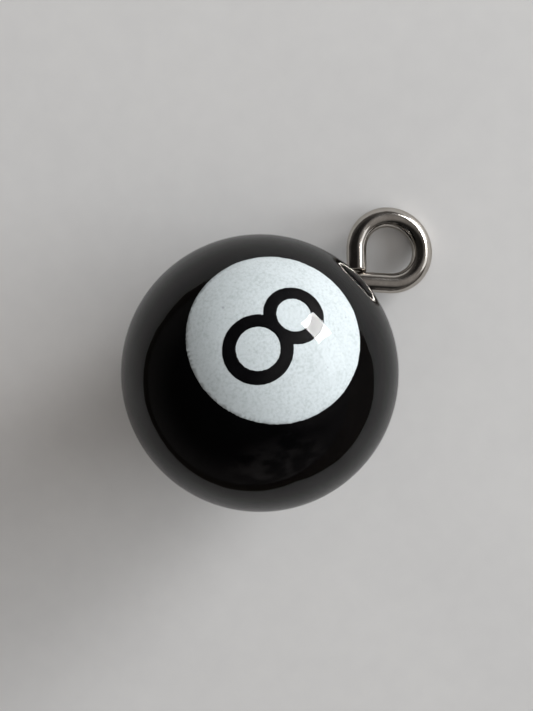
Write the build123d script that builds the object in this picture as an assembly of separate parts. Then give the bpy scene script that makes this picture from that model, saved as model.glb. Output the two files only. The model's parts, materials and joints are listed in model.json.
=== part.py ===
from build123d import *
import os
from math import asin, cos, degrees, radians, sin, tan

# A small eight-ball charm, lying on a table: a black resin ball with a numbered white spot
# on two opposite sides, a clear gloss coat over both, and a wire screw eye glued into a
# drilled hole. The eye's far end touches the table, so the eye leans down from the ball.
# All sizes are in millimetres and all angles in degrees.

# The ball and its coat
ball_diameter = 16.0
coat_thickness = 0.20

# The printed spots and numerals, each one layer of ink
ink_thickness = 0.06
spot_diameter = 9.6
spot_turn = 7.7  # both spots sit this far round the eye's axis from the eye's own normal
numeral_large_loop = 3.84
numeral_small_loop = 3.38
numeral_stroke = 0.72
numeral_loop_overlap = 0.84  # how far the two loops of the numeral run into each other
numeral_drop = 0.14  # how far the numeral's middle is from the spot's middle, away from the eye

# The screw eye, bent from one piece of round wire
wire_diameter = 1.18
eye_hole = 2.84  # inside diameter of the round of the eye
leg_angle = 45.0  # each straight leg leans this far from the shank
leg_foot_height = 0.15  # how far outside the ball the two legs' centre lines meet
free_end_gap = 0.05  # between the cut end of the free leg and the other leg
shank_bend_radius = 0.80  # of the wire's centre line, where the leg turns into the shank
shank_depth = 5.0  # from the ball's surface to the shank's point
thread_pitch = 0.50
thread_depth = 0.12
point_length = 0.60

# The drilled hole and the glue that fills it
shank_clearance = 0.20  # all round the shank
hole_end_clearance = 0.60  # past the shank's point
drill_point_angle = 118.0
mouth_bevel = 0.32  # the hole's mouth is opened out by this much, so that the bend can enter

# Sizes that follow
ball_radius = ball_diameter / 2
core_radius = ball_radius - coat_thickness
wire_radius = wire_diameter / 2
loop_radius = eye_hole / 2 + wire_radius
legs_meet = ball_radius + leg_foot_height
loop_centre = legs_meet + loop_radius / sin(radians(leg_angle))
eye_tip = loop_centre + loop_radius
resting_lean = degrees(asin((ball_radius - wire_radius) / eye_tip))
seam_turn = 1.95  # degrees that a ball's seam is away from level at rest
hole_radius = wire_radius + shank_clearance
beyond = ball_diameter  # long enough for a cutting shape to pass right out of the ball

# The whole part is built about the ball's centre, with +X along the shank towards the eye
# and +Z square to the eye, and is then leaned over and moved to rest on the table with its
# bounding box's bottom centre at the origin.
low_x = -ball_radius
high_x = eye_tip * cos(radians(resting_lean)) + wire_radius
at_rest = Location((-(low_x + high_x) / 2, 0, ball_radius), (0, resting_lean, 0))


def ball(radius):
    """A ball about the part's centre, with poles along Y. Its seam faces away from the eye.

    The lean is taken off the seam, so a mesh made from the ball, with facets about four
    degrees wide, rests on the middle of a facet whatever the sizes above."""
    return Rot(Y=180 - resting_lean - seam_turn) * Rot(X=90) * Sphere(radius)


def layer(inner_radius, outer_radius):
    """A whole thin shell about the ball's centre."""
    return ball(outer_radius) - ball(inner_radius)


def facing(half_turns, outline):
    """An outline drawn square to +Z, turned round the eye's axis to a spot and made long."""
    return Rot(X=180 * half_turns - spot_turn) * extrude(outline, beyond)


def spot(half_turns):
    """A round patch of white ink on the core."""
    ink = layer(core_radius, core_radius + ink_thickness)
    return ink & facing(half_turns, Circle(spot_diameter / 2))


def numeral(half_turns):
    """The figure 8 in black ink on a spot, its small loop towards the eye."""
    large_radius = numeral_large_loop / 2
    small_radius = numeral_small_loop / 2
    height = numeral_large_loop + numeral_small_loop - numeral_loop_overlap
    foot = -numeral_drop - height / 2
    large_loop = Pos(X=foot + large_radius)
    small_loop = Pos(X=foot + height - small_radius)
    figure = large_loop * Circle(large_radius) + small_loop * Circle(small_radius)
    figure -= large_loop * Circle(large_radius - numeral_stroke)
    figure -= small_loop * Circle(small_radius - numeral_stroke)
    spot_top = core_radius + ink_thickness
    return layer(spot_top, spot_top + ink_thickness) & facing(half_turns, figure)


def drilled_hole():
    """The space that the drill and the bevelled mouth take out of the ball, along +X."""
    end = ball_radius - shank_depth - hole_end_clearance
    end_cone = hole_radius / tan(radians(drill_point_angle / 2))
    past = ball_radius + mouth_bevel
    outline = Polyline(
        (end - end_cone, 0),
        (end, hole_radius),
        (ball_radius - mouth_bevel, hole_radius),
        (past, hole_radius + 2 * mouth_bevel),
        (past, 0),
        close=True,
    )
    return revolve(Plane.XY * make_face(outline), Axis.X)


def straight_wire(start, end):
    """A straight run of the wire."""
    run = end - start
    return extrude(Plane(origin=start, z_dir=run) * Circle(wire_radius), run.length)


def bent_wire(start, heading, bend_centre, angle):
    """A bend of the wire in the plane of the eye, from a point and the way it heads there."""
    section = Plane(origin=start, z_dir=heading) * Circle(wire_radius)
    return revolve(section, Axis(bend_centre, (0, 0, 1)), angle)


def threaded_shank(start_x):
    """The straight shank from start_x inwards, with its thread's grooves and its point."""
    tip = ball_radius - shank_depth
    root_radius = wire_radius - thread_depth
    threaded = start_x - thread_pitch - (tip + point_length)
    grooves = int(threaded / thread_pitch)
    outline = [(start_x, 0), (start_x, wire_radius)]
    for groove in range(grooves):
        crest = start_x - thread_pitch * (groove + 1)
        outline += [(crest, wire_radius), (crest - thread_pitch / 2, root_radius)]
    last_crest = start_x - thread_pitch * (grooves + 1)
    outline += [(last_crest, wire_radius), (tip + point_length, wire_radius), (tip, 0)]
    return revolve(Plane.XY * make_face(Polyline(*outline, close=True)), Axis.X)


def screw_eye():
    """The eye: free leg, round, second leg, bend and shank, all one wire."""
    lean = radians(leg_angle)
    meeting = Vector(legs_meet, 0)
    centre = Vector(loop_centre, 0)
    free_way = Vector(cos(lean), sin(lean))
    shank_way = Vector(cos(lean), -sin(lean))
    leg_length = loop_radius / tan(lean)
    free_end = meeting + free_way * ((wire_radius + free_end_gap) / sin(2 * lean))
    round_start = meeting + free_way * leg_length
    round_end = meeting + shank_way * leg_length
    bend_reach = shank_bend_radius * tan(lean / 2)
    bend_start = meeting + shank_way * bend_reach
    bend_centre = Vector(legs_meet - bend_reach, -shank_bend_radius)
    eye = straight_wire(free_end, round_start)
    eye += bent_wire(round_start, free_way, centre, -(180 + 2 * leg_angle))
    eye += straight_wire(round_end, bend_start)
    eye += bent_wire(bend_start, -shank_way, bend_centre, leg_angle)
    eye += threaded_shank(legs_meet - bend_reach)
    return eye


def write(node, solid):
    """Put one piece in its resting place and write it to its own file."""
    piece = at_rest * solid
    piece.label = node
    export_step(piece, f"parts/{node}.step")


hole = drilled_hole()
eye = screw_eye()
coat = layer(core_radius, ball_radius) - hole
pieces = {"ball_core": ball(core_radius) - hole}
for half_turns, side in enumerate(("front", "rear")):
    pieces[f"{side}_spot"] = spot(half_turns)
    pieces[f"{side}_numeral"] = numeral(half_turns)
    coat -= pieces[f"{side}_spot"]
    coat -= pieces[f"{side}_numeral"]
pieces["clear_coat"] = coat
pieces["screw_eye"] = eye
pieces["eye_glue"] = (hole & ball(ball_radius)) - eye

os.makedirs("parts", exist_ok=True)
for node, solid in pieces.items():
    write(node, solid)
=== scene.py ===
"""An eight-ball charm, lying on a pale table with its wire eye touching the table.

A black resin ball carries a printed white spot and figure on two opposite sides. A clear
lacquer covers ball and print, and a plated wire eye is glued into a drilled hole. Every
place is worked out from the CAD model's boxes and from the mount at the eye's hole.
"""

import json
import math

import bpy
from mathutils import Matrix, Vector, geometry, noise


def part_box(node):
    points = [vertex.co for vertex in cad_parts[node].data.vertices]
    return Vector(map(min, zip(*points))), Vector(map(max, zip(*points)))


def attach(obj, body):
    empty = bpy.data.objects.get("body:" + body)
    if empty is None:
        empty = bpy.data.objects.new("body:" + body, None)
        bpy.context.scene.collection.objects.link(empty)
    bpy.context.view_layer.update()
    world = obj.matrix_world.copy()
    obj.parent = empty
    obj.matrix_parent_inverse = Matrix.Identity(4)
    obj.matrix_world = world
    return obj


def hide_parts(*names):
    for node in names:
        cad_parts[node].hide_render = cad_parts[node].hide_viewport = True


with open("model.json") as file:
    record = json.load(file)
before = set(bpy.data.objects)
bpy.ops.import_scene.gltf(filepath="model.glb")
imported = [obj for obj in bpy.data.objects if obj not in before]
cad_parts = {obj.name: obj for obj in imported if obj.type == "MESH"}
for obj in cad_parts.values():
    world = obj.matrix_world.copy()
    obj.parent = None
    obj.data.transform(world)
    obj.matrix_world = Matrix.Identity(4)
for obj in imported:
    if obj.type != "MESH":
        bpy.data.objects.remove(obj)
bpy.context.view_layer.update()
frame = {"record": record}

MM = 0.001
body = "root"


# ---- places and sizes read from the CAD model --------------------------------------

def middle(box):
    """The middle of a box given by its lowest and highest corners."""
    return (Vector(box[0]) + Vector(box[1])) / 2


def width(box, axis):
    """A box's size along one axis: 0, 1 or 2."""
    return box[1][axis] - box[0][axis]


eye_mount = next(m for m in frame["record"]["mounts"] if m["name"] == "eye_hole")
ball_centre = middle(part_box("clear_coat"))
ball_radius = width(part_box("clear_coat"), 1) / 2
loop_centre = Vector(eye_mount["pos_m"])
eye_normal = Vector(eye_mount["axis"]).normalized()
out_of_ball = (loop_centre - ball_centre).normalized()
eye_side = eye_normal.cross(out_of_ball).normalized()
eye_normal = out_of_ball.cross(eye_side)
hole_inside = eye_mount["dims"]["r_mm"] * MM
wire_radius = (width(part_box("screw_eye"), 1) / 2 - hole_inside) / 2
loop_radius = hole_inside + wire_radius
loop_reach = (loop_centre - ball_centre).length

# The print and the eye's details, in the same sizes as the CAD model
leg_angle = math.radians(45)
shank_bend_radius = 0.80 * MM
shank_depth = 5.0 * MM
point_length = 0.60 * MM
thread_pitch = 0.50 * MM
thread_depth = 0.12 * MM
free_end_gap = 0.05 * MM
bore_radius = wire_radius + 0.20 * MM
mouth_bevel = 0.32 * MM
bore_end = 0.60 * MM
drill_half_angle = math.radians(59)
spot_radius = 4.80 * MM
spot_turn = math.radians(7.7)
large_loop_radius = 1.92 * MM
small_loop_radius = 1.69 * MM
stroke = 0.72 * MM
loop_overlap = 0.84 * MM
figure_drop = 0.14 * MM
legs_meet = loop_reach - loop_radius / math.sin(leg_angle)
round_of_eye_ends = 12 * MM  # along the wire from its cut end

# Lacquer bends light so that the resin and the print seem to lie just under its surface,
# with no clear edge round the ball, so they are drawn that far out
lacquer_outside = ball_radius - 0.006 * MM
lacquer_inside = ball_radius - 0.013 * MM
seen_resin = ball_radius - 0.036 * MM
seen_ink = 0.008 * MM


# ---- making meshes --------------------------------------------------------------------

def make_piece(name, points, faces, material, nodes):
    """A smooth mesh piece that stands for CAD nodes and takes a slot's finish."""
    mesh = bpy.data.meshes.new(name)
    mesh.from_pydata([tuple(p) for p in points], [], faces)
    mesh.validate()
    mesh.shade_smooth()
    piece = bpy.data.objects.new(name, mesh)
    bpy.context.scene.collection.objects.link(piece)
    mesh.materials.append(material)
    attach(piece, body)
    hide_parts(*nodes)
    return piece


def turned(profile, steps):
    """Points and faces of a profile of (along, out) pairs turned about the shank's line.

    The profile starts and ends on the line, so the solid is closed."""
    points, faces = [], []
    start = ball_centre + out_of_ball * profile[0][0]
    end = ball_centre + out_of_ball * profile[-1][0]
    rings = profile[1:-1]
    for along, out in rings:
        for step in range(steps):
            angle = 2 * math.pi * step / steps
            around = eye_side * math.cos(angle) + eye_normal * math.sin(angle)
            points.append(ball_centre + out_of_ball * along + around * out)
    for ring in range(len(rings) - 1):
        for step in range(steps):
            here, across = ring * steps + step, ring * steps + (step + 1) % steps
            faces.append((here, across, across + steps, here + steps))
    first, last = len(points), (len(rings) - 1) * steps
    points += [start, end]
    for step in range(steps):
        across = (step + 1) % steps
        faces.append((first, across, step))
        faces.append((first + 1, last + step, last + across))
    return points, faces


def arc(radius, start, end, steps):
    """(along, out) pairs on a circle about the ball's centre, by angle from the shank's line."""
    angles = [start + (end - start) * step / steps for step in range(steps + 1)]
    return [(radius * math.cos(a), radius * math.sin(a)) for a in angles]


# ---- the ball -------------------------------------------------------------------------

def bore_profile():
    """The drilled hole from its end to where its bevelled mouth starts."""
    end = ball_radius - shank_depth - bore_end
    drill_cone = bore_radius / math.tan(drill_half_angle)
    return [(end - drill_cone, 0), (end, bore_radius), (ball_radius - mouth_bevel, bore_radius)]


def mouth_angle(radius):
    """How far from the shank's line the mouth's bevel meets a ball of this radius."""
    out = bore_radius + radius - (ball_radius - mouth_bevel)
    return math.asin(out / radius)


def resin_ball(material):
    """The black ball with its drilled hole."""
    profile = bore_profile() + arc(seen_resin, mouth_angle(seen_resin), math.pi, 180)
    points, faces = turned(profile, 256)
    return make_piece("resin_ball", points, faces, material, ["ball_core"])


def lacquer_coat(material):
    """The clear coat: a thin shell, open at the hole, with the faint waves of a dipped coat."""
    start = mouth_angle(lacquer_outside)
    outer = arc(lacquer_outside, math.pi, start, 240)
    inner = arc(lacquer_inside, start, math.pi, 180)
    points, faces = turned(outer + inner, 320)
    wave, depth = 1.9 * MM, 0.0035 * MM
    for index, point in enumerate(points):
        out = point - ball_centre
        if out.length > lacquer_outside - 0.001 * MM:
            ripple = noise.noise(out / wave)
            points[index] = point - out.normalized() * depth * (0.5 - 0.5 * ripple)
    return make_piece("lacquer_coat", points, faces, material, ["clear_coat"])


def glue_plug(material):
    """The glue round the shank, with the small bead that it dries to along the hole's mouth."""
    skin = 0.01 * MM
    walls = [(along, max(out - skin, 0)) for along, out in bore_profile()]
    top = ball_radius - skin
    mouth = mouth_angle(top) - 0.002
    bead_height, bead_width = 0.065 * MM, 0.015
    dome = []
    for along, out in arc(top, mouth, 0, 90):
        across = math.atan2(out, along) - mouth + 1.6 * bead_width
        rise = 1 + bead_height / top * math.exp(-(across / bead_width) ** 2)
        dome.append((along * rise, out * rise))
    points, faces = turned(walls + dome, 160)
    return make_piece("glue_plug", points, faces, material, ["eye_glue"])


# ---- the print ------------------------------------------------------------------------

def spot_frame(side):
    """The outward, towards-the-eye and sideways directions of the front or the rear spot."""
    turn = Matrix.Rotation(-spot_turn + side * math.pi, 3, out_of_ball)
    outward = turn @ eye_normal
    return outward, out_of_ball, outward.cross(out_of_ball)


def laid_on(directions, up, across, radius):
    """A point of a flat drawing laid on a ball of this radius."""
    outward, towards_eye, sideways = directions
    rise = math.sqrt(max(radius * radius - up * up - across * across, 0))
    return ball_centre + outward * rise + towards_eye * up + sideways * across


def ragged(angle, seed, size):
    """The uneven edge of a print: a small in-and-out along an outline."""
    coarse = noise.noise(Vector((math.cos(angle) * 9, math.sin(angle) * 9, seed)))
    fine = noise.noise(Vector((math.cos(angle) * 60, math.sin(angle) * 60, seed)))
    return size * (0.4 * coarse + 0.6 * fine)


def inked(place, rings):
    """Whether a place lies inside an odd number of these outlines."""
    inside = False
    for ring in rings:
        for (x1, y1), (x2, y2) in zip(ring, ring[1:] + ring[:1]):
            if (y1 > place.y) != (y2 > place.y):
                inside ^= place.x < x1 + (place.y - y1) * (x2 - x1) / (y2 - y1)
    return inside


def layer_of_ink(outline_rings, directions, low, high, spacing):
    """A closed layer of ink on the ball inside one outline and outside the others."""
    flat, edges = [], []
    for ring in outline_rings:
        first = len(flat)
        flat += [Vector(p) for p in ring]
        edges += [(first + i, first + (i + 1) % len(ring)) for i in range(len(ring))]
    reach = max(p.length for p in flat)
    row_height = spacing * 0.866
    rows = int(reach / row_height) + 1
    for row in range(-rows, rows + 1):
        for column in range(-rows - 2, rows + 3):
            x = (column + 0.5 * (row % 2)) * spacing
            y = row * row_height
            if x * x + y * y < reach * reach:
                flat.append(Vector((x, y)))
    kept, _, triangles, _, _, _ = geometry.delaunay_2d_cdt(flat, edges, [], 1, 1e-9)
    middles = [sum((kept[v] for v in t), Vector((0, 0))) / 3 for t in triangles]
    triangles = [t for t, place in zip(triangles, middles) if inked(place, outline_rings)]
    count = len(kept)
    top = [laid_on(directions, p.x, p.y, high) for p in kept]
    bottom = [laid_on(directions, p.x, p.y, low) for p in kept]
    faces = [tuple(t) for t in triangles]
    faces += [tuple(count + v for v in reversed(t)) for t in triangles]
    sides = {}
    for t in triangles:
        for i in range(len(t)):
            sides[(t[i], t[(i + 1) % len(t)])] = True
    for a, b in sides:
        if (b, a) not in sides:
            faces.append((b, a, count + a, count + b))
    return top + bottom, faces


def ragged_circle(centre, radius, steps, seed, size):
    """A circle about (up, across) with a print's uneven edge."""
    ring = []
    for step in range(steps):
        angle = 2 * math.pi * step / steps
        out = radius + ragged(angle, seed, size)
        ring.append((centre + out * math.cos(angle), out * math.sin(angle)))
    return ring


def figure_outline(seed):
    """The figure 8: one outer outline round both loops, and the two loops' insides."""
    height = 2 * large_loop_radius + 2 * small_loop_radius - loop_overlap
    foot = -figure_drop - height / 2
    large = foot + large_loop_radius
    small = foot + height - small_loop_radius
    apart = small - large
    # where the two outer circles cross, as angles from the line between their centres
    reach = (apart**2 + large_loop_radius**2 - small_loop_radius**2) / (2 * apart)
    large_cross = math.acos(reach / large_loop_radius)
    small_cross = math.acos((reach - apart) / small_loop_radius)
    edge = 0.040 * MM
    outer = []
    steps = 260
    for step in range(steps):
        angle = large_cross + (2 * math.pi - 2 * large_cross) * step / steps
        out = large_loop_radius + ragged(angle, seed, edge)
        outer.append((large + out * math.cos(angle), out * math.sin(angle)))
    for step in range(steps):
        angle = -small_cross + 2 * small_cross * step / steps
        out = small_loop_radius + ragged(angle, seed + 5, edge)
        outer.append((small + out * math.cos(angle), out * math.sin(angle)))
    large_inside = ragged_circle(large, large_loop_radius - stroke, 200, seed + 1, edge)
    small_inside = ragged_circle(small, small_loop_radius - stroke, 160, seed + 2, edge)
    return [outer, large_inside, small_inside]


def printed_side(name, side, white, black):
    """The white spot and the black figure on one side of the ball."""
    directions = spot_frame(side)
    low = seen_resin + 0.003 * MM
    seed = 3.0 + 10 * side
    circle = ragged_circle(0, spot_radius, 700, seed, 0.05 * MM)
    points, faces = layer_of_ink([circle], directions, low, low + seen_ink, 0.25 * MM)
    make_piece(f"{name}_white_spot", points, faces, white, [f"{name}_spot"])
    low += seen_ink
    points, faces = layer_of_ink(figure_outline(seed), directions, low, low + seen_ink, 0.16 * MM)
    make_piece(f"{name}_figure_eight", points, faces, black, [f"{name}_numeral"])


# ---- the eye --------------------------------------------------------------------------

def in_eye_plane(along, across):
    """A point of the eye's plane: along the shank's line and across it, from the ball's centre."""
    return ball_centre + out_of_ball * along + eye_side * across


def wire_line():
    """The wire's middle line from its cut end to the shank's point, as points in its plane."""
    leg = loop_radius / math.tan(leg_angle)
    half_turn = math.pi / 2 + leg_angle
    cut = wire_radius + free_end_gap
    line = []
    legs = 14
    for step in range(legs):
        out = cut + (leg - cut) * step / legs
        line.append((legs_meet + out * math.cos(leg_angle), out * math.sin(leg_angle)))
    rounds = 150
    for step in range(rounds):
        angle = half_turn - 2 * half_turn * step / rounds
        line.append((loop_reach + loop_radius * math.cos(angle), loop_radius * math.sin(angle)))
    bend = shank_bend_radius * math.tan(leg_angle / 2)
    for step in range(legs):
        out = leg + (bend - leg) * step / legs
        line.append((legs_meet + out * math.cos(leg_angle), -out * math.sin(leg_angle)))
    bends = 12
    for step in range(bends):
        angle = leg_angle * (1 - step / bends)
        along = legs_meet - bend + shank_bend_radius * math.sin(angle)
        line.append((along, -shank_bend_radius * (1 - math.cos(angle))))
    tip = ball_radius - shank_depth
    start = legs_meet - bend
    threads = 260
    for step in range(threads + 1):
        line.append((start + (tip - start) * step / threads, 0))
    return line


def thread_cut(along, angle):
    """How far the thread cuts into the shank at a place along it and an angle round it."""
    tip = ball_radius - shank_depth
    start = legs_meet - 3 * thread_pitch
    if along > start or along < tip + point_length:
        return 0.0
    turn = (along / thread_pitch + angle / (2 * math.pi)) % 1
    return thread_depth * (1 - abs(2 * turn - 1)) * min(1, (start - along) / thread_pitch)


def wire_eye(material):
    """The plated wire: cut end, round, legs, bend and threaded shank, slightly uneven."""
    line = wire_line()
    sides = 48
    points, faces = [], []
    tip = ball_radius - shank_depth
    walked = 0.0
    lengths = []
    for index, (along, across) in enumerate(line):
        before = Vector(line[max(index - 1, 0)])
        after = Vector(line[min(index + 1, len(line) - 1)])
        heading = (after - before).normalized()
        walked += (Vector(line[index]) - before).length
        lengths.append(walked)
        out = Vector((heading.y, -heading.x))
        in_ball = in_eye_plane(along, across)
        dent = 0.010 * MM * noise.noise(Vector((walked / (1.1 * MM), 0.3, 0.7)))
        near_point = max(0.0, 1 - (along - tip) / point_length) if walked > round_of_eye_ends else 0.0
        for side in range(sides):
            angle = 2 * math.pi * side / sides
            radius = wire_radius - 0.004 * MM + dent * math.cos(angle - walked / (2 * MM))
            radius -= thread_cut(along, angle) if walked > round_of_eye_ends else 0
            radius *= max(1 - near_point, 0.02)
            place = in_ball + (out_of_ball * out.x + eye_side * out.y) * radius * math.cos(angle)
            points.append(place + eye_normal * radius * math.sin(angle))
    rings = len(line)
    for ring in range(rings - 1):
        for side in range(sides):
            here, across = ring * sides + side, ring * sides + (side + 1) % sides
            faces.append((here, here + sides, across + sides, across))
    last = (rings - 1) * sides
    faces.append(tuple(last + side for side in range(sides)))
    add_cut_end(points, faces, line, sides)
    piece = make_piece("wire_eye", points, faces, material, ["screw_eye"])
    add_wire_coordinates(piece, sides, rings, lengths)
    return piece


def add_cut_end(points, faces, line, sides):
    """Close the free end with the slightly domed face that side cutters leave."""
    heading = (Vector(line[1]) - Vector(line[0])).normalized()
    out = Vector((heading.y, -heading.x))
    back = out_of_ball * heading.x + eye_side * heading.y
    middle_point = in_eye_plane(*line[0])
    rings = ((0.93, 0.025), (0.80, 0.040), (0.40, 0.036))
    previous = list(range(sides))
    for share, sink in rings:
        first = len(points)
        for side in range(sides):
            angle = 2 * math.pi * side / sides
            across = (out_of_ball * out.x + eye_side * out.y) * math.cos(angle)
            spoke = (across + eye_normal * math.sin(angle)) * wire_radius * share
            points.append(middle_point - back * sink * MM + spoke)
        for side in range(sides):
            across = (side + 1) % sides
            faces.append((previous[side], previous[across], first + across, first + side))
        previous = [first + side for side in range(sides)]
    points.append(middle_point - back * 0.034 * MM)
    for side in range(sides):
        faces.append((previous[side], previous[(side + 1) % sides], len(points) - 1))


def add_wire_coordinates(piece, sides, rings, lengths):
    """A map whose second direction runs along the wire, for the drawing marks."""
    coordinates = piece.data.uv_layers.new(name="along_wire")
    for loop in piece.data.loops:
        ring, side = divmod(loop.vertex_index, sides)
        length = lengths[ring] if ring < rings else 0.0
        coordinates.data[loop.index].uv = (side / sides, length / (10 * MM))


# ---- effects that materials share -----------------------------------------------------

def new_group(name, inputs, outputs):
    """An empty shader group with float or vector inputs and outputs, and its two end nodes."""
    group = bpy.data.node_groups.new(name, "ShaderNodeTree")
    for socket, kind, value in inputs:
        made = group.interface.new_socket(name=socket, in_out="INPUT", socket_type=kind)
        made.default_value = value
    for socket, kind in outputs:
        group.interface.new_socket(name=socket, in_out="OUTPUT", socket_type=kind)
    return group, group.nodes.new("NodeGroupInput"), group.nodes.new("NodeGroupOutput")


def add(tree, kind, **settings):
    """A node with its settings."""
    node = tree.nodes.new(kind)
    for name, value in settings.items():
        setattr(node, name, value)
    return node


def maths(tree, operation, first, second=None, third=None, clamp=False):
    """A maths node on sockets or plain numbers, and its output."""
    node = add(tree, "ShaderNodeMath", operation=operation, use_clamp=clamp)
    for socket, value in zip(node.inputs, (first, second, third)):
        if value is None:
            continue
        if isinstance(value, (int, float)):
            socket.default_value = value
        else:
            tree.links.new(value, socket)
    return node.outputs[0]


def mottle_group():
    """Soft clouds and fine grain, from 0 to 1, for the tone of ink and resin."""
    group, start, end = new_group(
        "mottle",
        [("Cloud size per m", "NodeSocketFloat", 900.0), ("Grain size per m", "NodeSocketFloat", 9000.0),
         ("Grain share", "NodeSocketFloat", 0.5)],
        [("Value", "NodeSocketFloat")],
    )
    place = add(group, "ShaderNodeTexCoord")
    parts = []
    for size, detail in (("Cloud size per m", 3.0), ("Grain size per m", 2.0)):
        cloud = add(group, "ShaderNodeTexNoise")
        cloud.inputs["Detail"].default_value = detail
        group.links.new(place.outputs["Object"], cloud.inputs["Vector"])
        group.links.new(start.outputs[size], cloud.inputs["Scale"])
        parts.append(cloud.outputs["Fac"])
    blend = add(group, "ShaderNodeMix", data_type="FLOAT")
    group.links.new(start.outputs["Grain share"], blend.inputs["Factor"])
    group.links.new(parts[0], blend.inputs[2])
    group.links.new(parts[1], blend.inputs[3])
    group.links.new(blend.outputs[0], end.inputs["Value"])
    return group


def specks_group():
    """Scattered round specks, 1 inside a speck and 0 elsewhere, for dust and print faults."""
    group, start, end = new_group(
        "specks",
        [("Spacing per m", "NodeSocketFloat", 900.0), ("Size", "NodeSocketFloat", 0.08),
         ("Share with a speck", "NodeSocketFloat", 0.3)],
        [("Mask", "NodeSocketFloat")],
    )
    place = add(group, "ShaderNodeTexCoord")
    cells = add(group, "ShaderNodeTexVoronoi")
    group.links.new(place.outputs["Object"], cells.inputs["Vector"])
    group.links.new(start.outputs["Spacing per m"], cells.inputs["Scale"])
    split = add(group, "ShaderNodeSeparateColor")
    group.links.new(cells.outputs["Color"], split.inputs[0])
    chosen = maths(group, "LESS_THAN", split.outputs[0], start.outputs["Share with a speck"])
    size = maths(group, "MULTIPLY", start.outputs["Size"], split.outputs[1])
    inside = maths(group, "SUBTRACT", size, cells.outputs["Distance"])
    soft = maths(group, "MULTIPLY", inside, 30.0, clamp=True)
    group.links.new(maths(group, "MULTIPLY", soft, chosen), end.inputs["Mask"])
    return group


def place_group(tree, group, **values):
    """A shared effect in a material, with this material's own values."""
    node = add(tree, "ShaderNodeGroup", node_tree=group)
    for name, value in values.items():
        node.inputs[name.replace("_", " ")].default_value = value
    return node


def tone(tree, factor, stops):
    """A colour ramp on a factor. Stops are (place, (red, green, blue))."""
    ramp = add(tree, "ShaderNodeValToRGB")
    elements = ramp.color_ramp.elements
    for _ in range(len(stops) - 2):
        elements.new(0.5)
    for element, (place, colour) in zip(elements, stops):
        element.position = place
        element.color = (*colour, 1)
    tree.links.new(factor, ramp.inputs[0])
    return ramp.outputs[0]


def bump(tree, height, strength, depth_mm):
    """A bump node on a height of 0 to 1, and its normal."""
    node = add(tree, "ShaderNodeBump")
    node.inputs["Strength"].default_value = strength
    node.inputs["Distance"].default_value = depth_mm * MM
    tree.links.new(height, node.inputs["Height"])
    return node.outputs["Normal"]


def new_material(name):
    """A material with only its output node and a Principled shader joined to it."""
    material = bpy.data.materials.new(name)
    material.use_nodes = True
    tree = material.node_tree
    shader = next(n for n in tree.nodes if n.type == "BSDF_PRINCIPLED")
    return material, tree, shader


# ---- the finishes ---------------------------------------------------------------------

mottle = mottle_group()
specks = specks_group()


def black_resin():
    """Cast black resin under lacquer: almost no light comes back."""
    material, tree, shader = new_material("black_resin")
    cloud = place_group(tree, mottle, Cloud_size_per_m=500.0, Grain_share=0.3)
    base = tone(tree, cloud.outputs[0], ((0.3, (0.0006, 0.0006, 0.0007)), (0.7, (0.0016, 0.0016, 0.0018))))
    tree.links.new(base, shader.inputs["Base Color"])
    rough = maths(tree, "MULTIPLY_ADD", cloud.outputs[0], 0.2, 0.35)
    tree.links.new(rough, shader.inputs["Roughness"])
    shader.inputs["Specular IOR Level"].default_value = 0.0
    return material


def white_ink():
    """Opaque white print: faintly blue, cloudy, with a few grey pinholes."""
    material, tree, shader = new_material("white_ink")
    cloud = place_group(tree, mottle, Cloud_size_per_m=600.0, Grain_size_per_m=6500.0, Grain_share=0.7)
    base = tone(tree, cloud.outputs[0], ((0.28, (0.37, 0.41, 0.42)), (0.50, (0.475, 0.52, 0.535)),
                                         (0.72, (0.515, 0.565, 0.58))))
    pinhole = place_group(tree, specks, Spacing_per_m=1500.0, Size=0.20, Share_with_a_speck=0.16)
    blend = add(tree, "ShaderNodeMix", data_type="RGBA")
    tree.links.new(maths(tree, "MULTIPLY", pinhole.outputs[0], 0.5), blend.inputs["Factor"])
    tree.links.new(base, blend.inputs[6])
    blend.inputs[7].default_value = (0.22, 0.22, 0.26, 1)
    tree.links.new(blend.outputs[2], shader.inputs["Base Color"])
    tree.links.new(maths(tree, "MULTIPLY_ADD", cloud.outputs[0], 0.2, 0.45), shader.inputs["Roughness"])
    tree.links.new(bump(tree, cloud.outputs[0], 0.5, 0.008), shader.inputs["Normal"])
    shader.inputs["Specular IOR Level"].default_value = 0.1
    return material


def black_ink():
    """Opaque black print over the white, finely grained."""
    material, tree, shader = new_material("black_ink")
    cloud = place_group(tree, mottle, Cloud_size_per_m=1500.0, Grain_size_per_m=12000.0, Grain_share=0.6)
    base = tone(tree, cloud.outputs[0], ((0.3, (0.0006, 0.0006, 0.0008)), (0.7, (0.0035, 0.0035, 0.0042))))
    tree.links.new(base, shader.inputs["Base Color"])
    tree.links.new(maths(tree, "MULTIPLY_ADD", cloud.outputs[0], 0.2, 0.35), shader.inputs["Roughness"])
    tree.links.new(bump(tree, cloud.outputs[0], 0.6, 0.010), shader.inputs["Normal"])
    shader.inputs["Specular IOR Level"].default_value = 0.06
    return material


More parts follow.
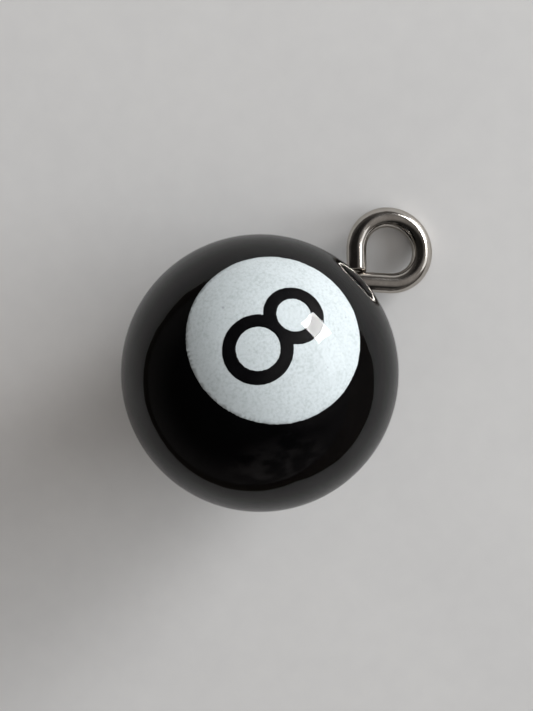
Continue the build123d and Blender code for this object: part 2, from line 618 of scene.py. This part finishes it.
def clear_lacquer():
    """A see-through gloss: only what it mirrors is seen, and its inner face shows nothing."""
    material, tree, shader = new_material("clear_lacquer")
    tree.nodes.remove(shader)
    cloud = place_group(tree, mottle, Cloud_size_per_m=900.0, Grain_size_per_m=2600.0, Grain_share=0.25)
    dust = place_group(tree, specks, Spacing_per_m=500.0, Size=0.045, Share_with_a_speck=0.25)
    height = maths(tree, "ADD", cloud.outputs[0], maths(tree, "MULTIPLY", dust.outputs[0], 1.5))
    normal = bump(tree, height, 0.35, 0.012)
    gloss = add(tree, "ShaderNodeBsdfGlossy")
    gloss.inputs["Roughness"].default_value = 0.03
    tree.links.new(normal, gloss.inputs["Normal"])
    clear = add(tree, "ShaderNodeBsdfTransparent")
    mirrored = add(tree, "ShaderNodeFresnel")
    mirrored.inputs["IOR"].default_value = 1.5
    tree.links.new(normal, mirrored.inputs["Normal"])
    outer_face = add(tree, "ShaderNodeNewGeometry")
    gloss_share = 0.75
    seen = maths(tree, "MULTIPLY_ADD", outer_face.outputs["Backfacing"], -gloss_share, gloss_share)
    share = maths(tree, "MULTIPLY", mirrored.outputs[0], seen)
    both = add(tree, "ShaderNodeMixShader")
    tree.links.new(share, both.inputs[0])
    tree.links.new(clear.outputs[0], both.inputs[1])
    tree.links.new(gloss.outputs[0], both.inputs[2])
    out = next(n for n in tree.nodes if n.type == "OUTPUT_MATERIAL")
    tree.links.new(both.outputs[0], out.inputs["Surface"])
    return material


def clear_glue():
    """Dried glue, cloudy and grey over the dark resin."""
    material, tree, shader = new_material("clear_glue")
    cloud = place_group(tree, mottle, Cloud_size_per_m=2500.0, Grain_share=0.3)
    base = tone(tree, cloud.outputs[0], ((0.3, (0.24, 0.235, 0.225)), (0.7, (0.34, 0.335, 0.32))))
    tree.links.new(base, shader.inputs["Base Color"])
    tree.links.new(maths(tree, "MULTIPLY_ADD", cloud.outputs[0], 0.15, 0.02), shader.inputs["Roughness"])
    tree.links.new(bump(tree, cloud.outputs[0], 0.4, 0.02), shader.inputs["Normal"])
    return material


def nickel_plate():
    """Polished nickel-toned plating with drawing marks along the wire and small dings."""
    material, tree, shader = new_material("nickel_plate")
    place = add(tree, "ShaderNodeUVMap", uv_map="along_wire")
    stretch = add(tree, "ShaderNodeMapping")
    stretch.inputs["Scale"].default_value = (26.0, 5.0, 1.0)
    tree.links.new(place.outputs[0], stretch.inputs["Vector"])
    marks = add(tree, "ShaderNodeTexNoise")
    marks.inputs["Scale"].default_value = 1.0
    marks.inputs["Detail"].default_value = 4.0
    tree.links.new(stretch.outputs[0], marks.inputs["Vector"])
    cloud = place_group(tree, mottle, Cloud_size_per_m=1300.0, Grain_size_per_m=9000.0, Grain_share=0.35)
    base = tone(tree, cloud.outputs[0], ((0.3, (0.45, 0.42, 0.385)), (0.7, (0.64, 0.61, 0.57))))
    tree.links.new(base, shader.inputs["Base Color"])
    shader.inputs["Metallic"].default_value = 1.0
    shader.inputs["Specular Tint"].default_value = (0.52, 0.49, 0.45, 1)
    rough = maths(tree, "MULTIPLY_ADD", cloud.outputs[0], 0.16, 0.05)
    tree.links.new(rough, shader.inputs["Roughness"])
    height = maths(tree, "ADD", maths(tree, "MULTIPLY", marks.outputs["Fac"], 0.5),
                   maths(tree, "MULTIPLY", cloud.outputs[0], 0.6))
    tree.links.new(bump(tree, height, 0.35, 0.02), shader.inputs["Normal"])
    return material


def table_top():
    """A plain pale table."""
    material, tree, shader = new_material("table_top")
    cloud = place_group(tree, mottle, Cloud_size_per_m=60.0, Grain_size_per_m=700.0, Grain_share=0.3)
    base = tone(tree, cloud.outputs[0], ((0.3, (0.70, 0.70, 0.70)), (0.7, (0.76, 0.76, 0.755))))
    tree.links.new(base, shader.inputs["Base Color"])
    shader.inputs["Roughness"].default_value = 0.45
    shader.inputs["Specular IOR Level"].default_value = 0.3
    return material


# ---- table, light and camera ----------------------------------------------------------

def lay_table():
    """The table that the charm lies on."""
    half = 1.5
    mesh = bpy.data.meshes.new("table")
    corners = [(-half, -half, 0), (half, -half, 0), (half, half, 0), (-half, half, 0)]
    mesh.from_pydata(corners, [], [(0, 1, 2, 3)])
    mesh.materials.append(table_top())
    table = bpy.data.objects.new("table", mesh)
    bpy.context.scene.collection.objects.link(table)


def surround_table():
    """A dark sheet round the pale table that only gloss sees: a painted dark reflection, as dark bands in
    ball and wire.
    """
    beside, ahead = way_to(-45, 0), way_to(45, 0)
    right_edge, left_edge, far_edge, near_edge = 27 * MM, -120 * MM, 60 * MM, -90 * MM
    end = 1.5
    points = []
    for right, up in ((right_edge, far_edge), (left_edge, far_edge), (left_edge, near_edge),
                      (right_edge, near_edge), (end, end), (-end, end), (-end, -end), (end, -end)):
        points.append(Vector((ball_centre.x, 0, 0.02 * MM)) + beside * right + ahead * up)
    faces = [(i, (i + 1) % 4, 4 + (i + 1) % 4, 4 + i) for i in range(4)]
    mesh = bpy.data.meshes.new("painted_dark_reflection")
    mesh.from_pydata([tuple(p) for p in points], [], faces)
    material, tree, shader = new_material("painted_dark_reflection")
    cloud = place_group(tree, mottle, Cloud_size_per_m=30.0, Grain_size_per_m=300.0, Grain_share=0.3)
    tree.links.new(tone(tree, cloud.outputs[0], ((0.3, (0.07, 0.058, 0.047)), (0.7, (0.12, 0.10, 0.082)))),
                   shader.inputs["Base Color"])
    shader.inputs["Roughness"].default_value = 0.9
    shader.inputs["Specular IOR Level"].default_value = 0.0
    mesh.materials.append(material)
    # Painted dark reflection: this dark sheet is hidden from camera, diffuse light and shadows, so only
    # gloss sees it
    dark_reflection_sheet = bpy.data.objects.new("painted_dark_reflection", mesh)
    dark_reflection_sheet.visible_camera = dark_reflection_sheet.visible_diffuse = dark_reflection_sheet.visible_shadow = False
    bpy.context.scene.collection.objects.link(dark_reflection_sheet)


def way_to(azimuth, elevation):
    """The direction with this azimuth and elevation, in degrees."""
    turn, lift = math.radians(azimuth), math.radians(elevation)
    return Vector((math.cos(lift) * math.cos(turn), math.cos(lift) * math.sin(turn), math.sin(lift)))


def light_panel(name, azimuth, elevation, size, power, colour, mirrored=True):
    """A soft rectangular light, facing the ball from a direction, that gloss may mirror or not."""
    distance = 0.6
    lamp = bpy.data.lights.new(name, "AREA")
    lamp.shape = "RECTANGLE"
    lamp.size, lamp.size_y = size
    lamp.energy = power
    lamp.color = colour
    panel = bpy.data.objects.new(name, lamp)
    way = way_to(azimuth, elevation)
    panel.location = ball_centre + way * distance
    panel.rotation_euler = (-way).to_track_quat("-Z", "Y").to_euler()
    panel.visible_camera = False
    panel.visible_glossy = mirrored
    bpy.context.scene.collection.objects.link(panel)


def towards(tree, way, azimuth, elevation):
    """How nearly a direction points this way: 1 when it does."""
    node = add(tree, "ShaderNodeVectorMath", operation="DOT_PRODUCT")
    tree.links.new(way, node.inputs[0])
    node.inputs[1].default_value = way_to(azimuth, elevation)
    return node.outputs["Value"]


def fall_off(tree, value, start, end, level):
    """A level that fades smoothly to nothing as a value goes from start to end."""
    node = add(tree, "ShaderNodeMapRange", interpolation_type="SMOOTHSTEP")
    for socket, number in zip(node.inputs[1:5], (start, end, level, 0.0)):
        socket.default_value = number
    tree.links.new(value, node.inputs[0])
    return node.outputs[0]


def dim_room():
    """A pale room that lights the charm evenly, but that gloss sees as dark above, paler
    towards the horizon and palest in one broad glow, as in a room with a single window."""
    world = bpy.data.worlds.new("room")
    world.use_nodes = True
    tree = world.node_tree
    back = next(n for n in tree.nodes if n.type == "BACKGROUND")
    back.inputs["Color"].default_value = (1.0, 0.945, 0.905, 1)
    way = add(tree, "ShaderNodeTexCoord").outputs["Generated"]
    height = add(tree, "ShaderNodeSeparateXYZ")
    tree.links.new(way, height.inputs[0])
    glow = fall_off(tree, towards(tree, way, -38, 40), 1.0, 0.72, 0.26)
    low_band = fall_off(tree, height.outputs[2], 0.05, 0.55, 0.07)
    shapes = add(tree, "ShaderNodeTexNoise")
    shapes.inputs["Scale"].default_value = 5.0
    shapes.inputs["Detail"].default_value = 5.0
    tree.links.new(way, shapes.inputs["Vector"])
    clutter_way = fall_off(tree, towards(tree, way, -118, 12), 0.98, 0.80, 1.0)
    clutter = maths(tree, "MULTIPLY", clutter_way, fall_off(tree, shapes.outputs["Fac"], 0.60, 0.45, 0.14))
    darkest = 0.015
    mirrored = maths(tree, "ADD", maths(tree, "ADD", glow, low_band), maths(tree, "ADD", clutter, darkest))
    path = add(tree, "ShaderNodeLightPath")
    even = maths(tree, "MULTIPLY_ADD", path.outputs["Is Camera Ray"], 0.415, 0.195)
    level = add(tree, "ShaderNodeMix", data_type="FLOAT")
    tree.links.new(path.outputs["Is Glossy Ray"], level.inputs["Factor"])
    tree.links.new(even, level.inputs[2])
    tree.links.new(mirrored, level.inputs[3])
    tree.links.new(level.outputs[0], back.inputs["Strength"])
    bpy.context.scene.world = world


def set_light():
    """Daylight from a low window on the eye's side, and soft light from above it."""
    light_panel("window_pane", -4, 11, (0.20, 0.17), 2.9, (1.0, 0.99, 0.985))
    light_panel("window_curtain", -26, 11, (0.26, 0.19), 0.18, (0.96, 0.98, 1.0))
    light_panel("daylight", -25, 19, (0.52, 0.32), 2.95, (0.96, 1.0, 1.03), mirrored=False)
    light_panel("ceiling", -32, 52, (0.9, 0.6), 1.1, (1.0, 0.95, 0.91), mirrored=False)
    dim_room()


def set_camera():
    """A camera a little off the vertical on the eye's side, rolled so that the eye is up right."""
    lean = math.radians(17.8)
    distance = 120 * MM
    towards_camera = Vector((math.sin(lean), 0, math.cos(lean)))
    eye_on_picture = (out_of_ball - towards_camera * out_of_ball.dot(towards_camera)).normalized()
    beside = towards_camera.cross(eye_on_picture)
    roll = math.radians(43.4)
    right = eye_on_picture * math.cos(roll) - beside * math.sin(roll)
    up = eye_on_picture * math.sin(roll) + beside * math.cos(roll)
    aim = ball_centre + right * 0.38 * MM + up * 1.01 * MM
    place = aim + towards_camera * distance
    turn = Matrix((right, up, towards_camera)).transposed().to_4x4()
    data = bpy.data.cameras.new("camera")
    data.sensor_fit = "VERTICAL"
    data.sensor_height = 24.0
    data.lens = 70.4
    data.clip_start = 1 * MM
    camera = bpy.data.objects.new("camera", data)
    camera.matrix_world = Matrix.Translation(place) @ turn
    bpy.context.scene.collection.objects.link(camera)
    bpy.context.scene.camera = camera


resin_ball(black_resin())
white, black = white_ink(), black_ink()
printed_side("front", 0, white, black)
printed_side("rear", 1, white, black)
lacquer_coat(clear_lacquer())
wire_eye(nickel_plate())
glue_plug(clear_glue())
lay_table()
surround_table()
set_light()
set_camera()
bpy.context.scene.view_settings.view_transform = "Standard"
